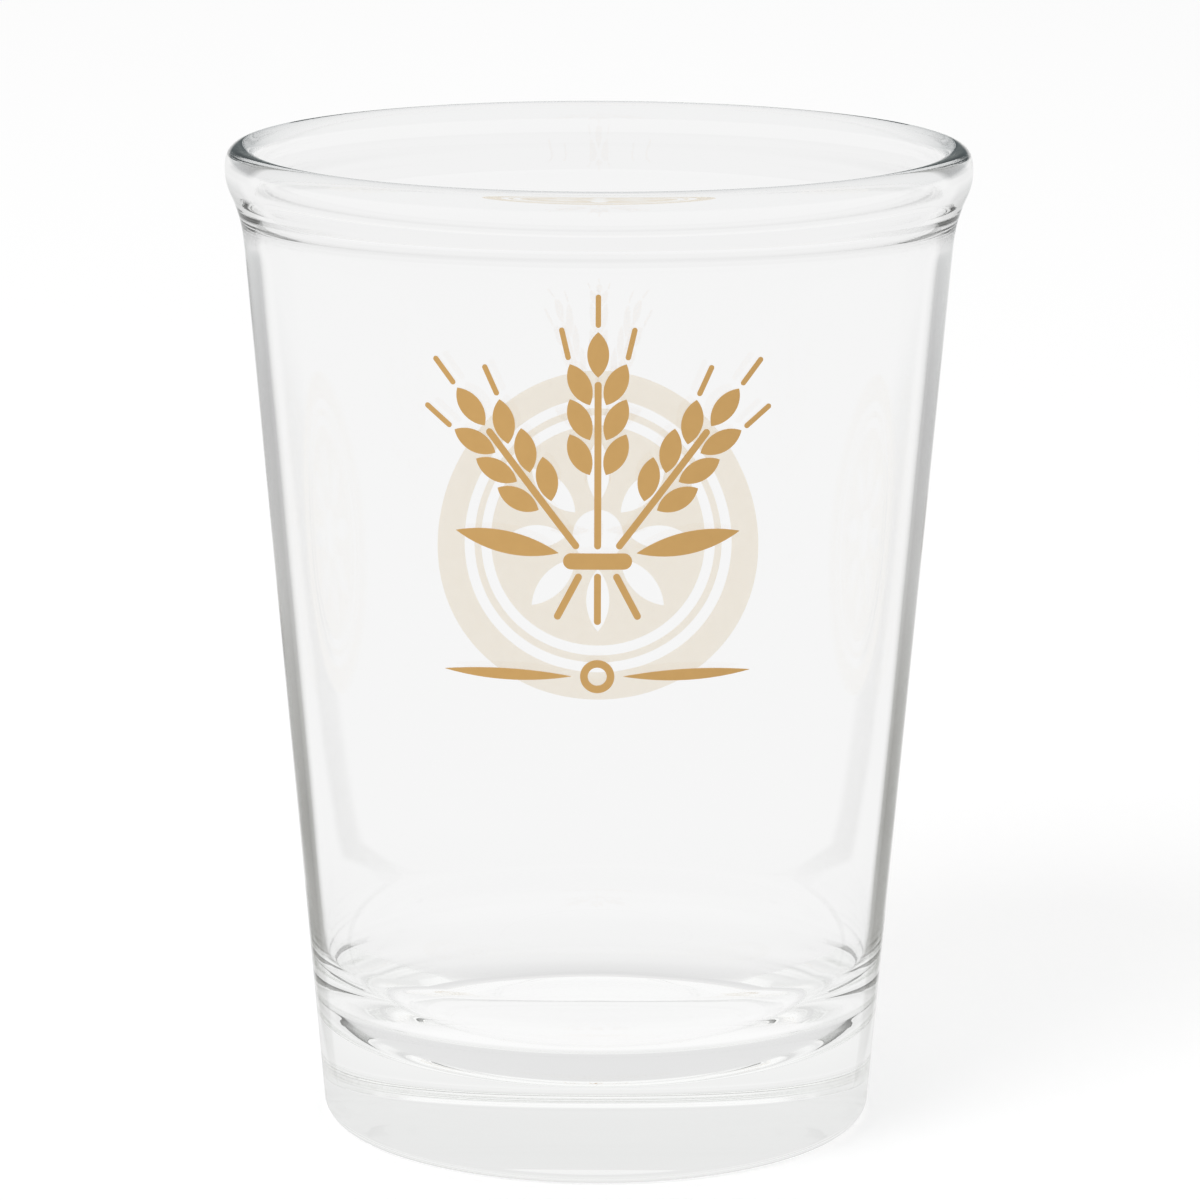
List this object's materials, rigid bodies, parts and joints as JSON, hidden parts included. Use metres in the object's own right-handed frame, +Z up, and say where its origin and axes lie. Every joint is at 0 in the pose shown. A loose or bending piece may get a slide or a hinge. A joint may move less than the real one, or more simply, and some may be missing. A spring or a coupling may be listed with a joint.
{
  "type": "beer glass",
  "caption": "Small tapered clear beer glass with a rolled lip and a heavy foot, printed with a gold grain sheaf in front and a pale roundel behind, for cold drinks.",
  "frame": {"origin": "on the table, under the middle of the foot", "axes": "+Z up along the glass's axis, -Y towards the drinker's side with the gold print, +X to its right"},
  "size_m": [0.0612, 0.0612, 0.082],
  "materials": {
    "clear_glass": "clear fire-polished soda-lime glass",
    "gold_ink": "fired gold-coloured enamel, satin",
    "pale_ink": "fired pale cream enamel, satin"
  },
  "bodies": {
    "root": {"glass_body": "clear_glass", "front_ear_middle": "gold_ink", "front_ear_left": "gold_ink", "front_ear_right": "gold_ink", "front_stems": "gold_ink", "front_tie": "gold_ink", "front_leaves": "gold_ink", "front_rule": "gold_ink", "back_band": "pale_ink", "back_line": "pale_ink", "back_rosette": "pale_ink"}
  },
  "joints": []
}
